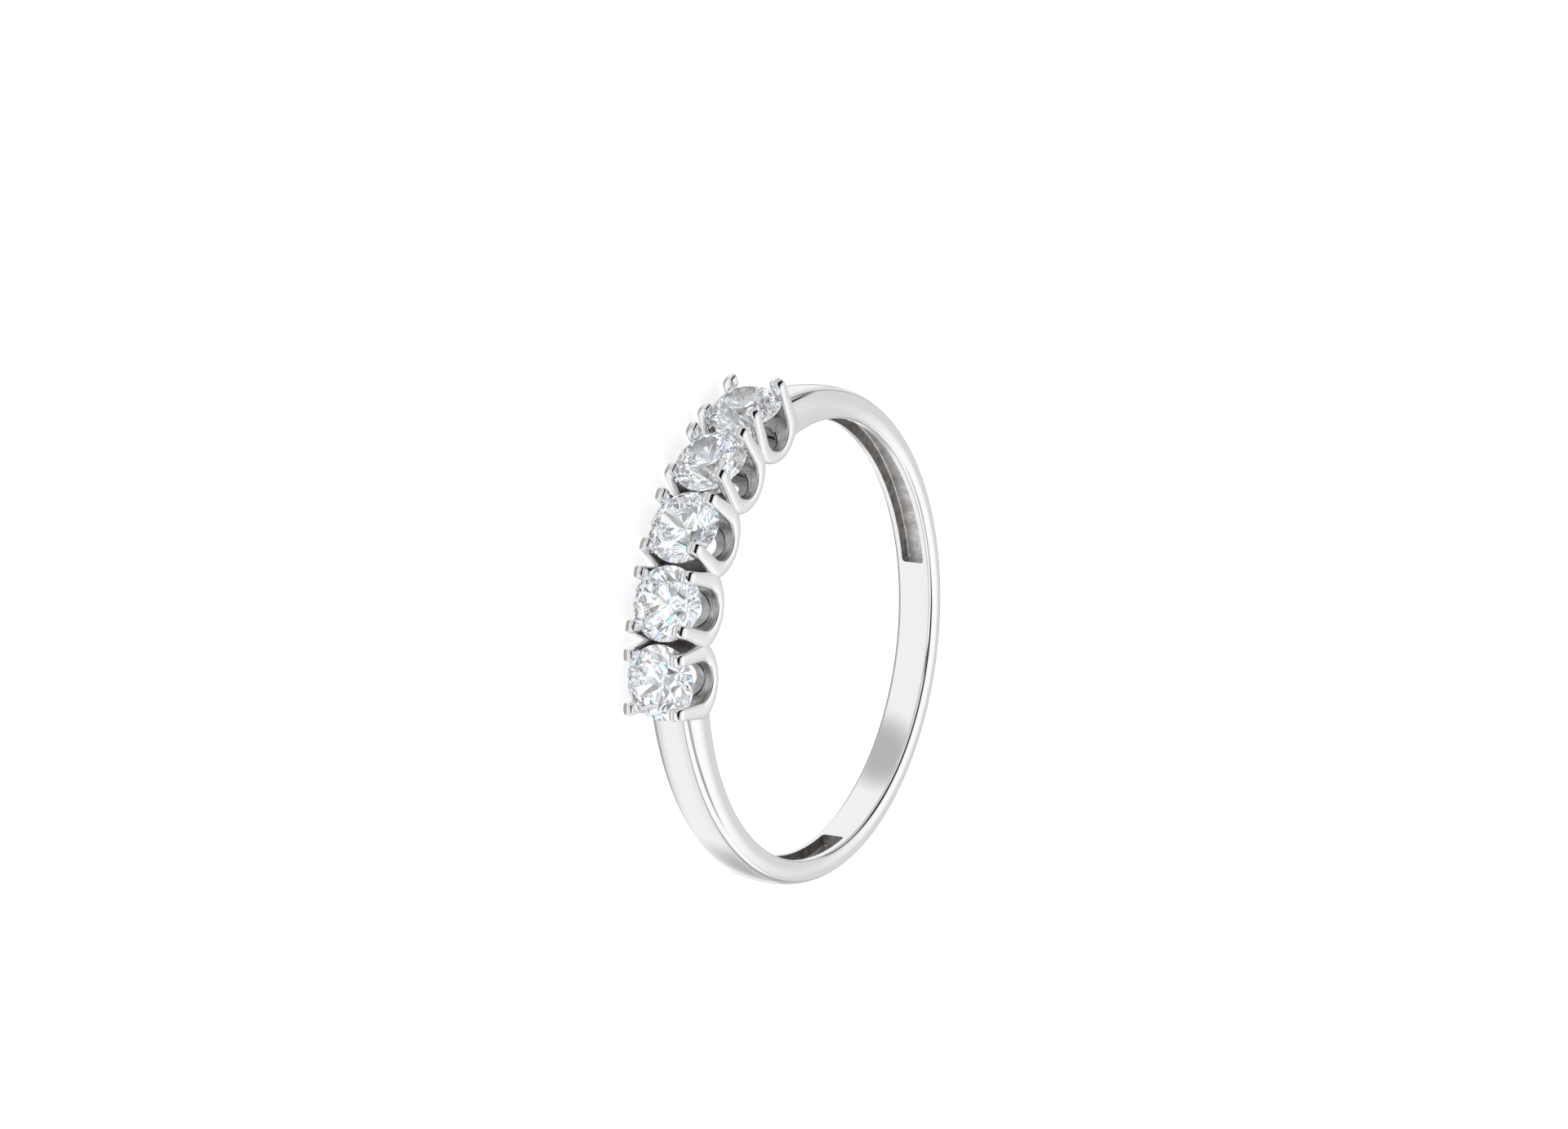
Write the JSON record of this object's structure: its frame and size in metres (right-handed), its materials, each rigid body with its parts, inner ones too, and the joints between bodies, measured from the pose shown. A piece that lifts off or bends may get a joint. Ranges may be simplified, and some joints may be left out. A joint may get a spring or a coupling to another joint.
{
  "type": "cubic zirconia ring",
  "caption": "Finger ring with a row of round brilliant stones in claw settings with open side windows, on a plain polished shank that tapers and is hollowed on its finger side.",
  "frame": {"origin": "middle of the finger hole, at half of the ring's width", "axes": "+Z along the finger hole's axis, pointing up as the ring lies on its side; the row of stones faces -Y; +X towards the stone numbered last"},
  "size_m": [0.0196, 0.0213, 0.0028],
  "materials": {
    "polished_metal": "mirror polished white metal, matte as cast inside the windows, between the settings and in the hollows",
    "clear_stone": "clear colourless faceted stone"
  },
  "bodies": {
    "root": {"ring_band": "polished_metal", "stone_1": "clear_stone", "stone_2": "clear_stone", "stone_3": "clear_stone", "stone_4": "clear_stone", "stone_5": "clear_stone"}
  },
  "joints": []
}
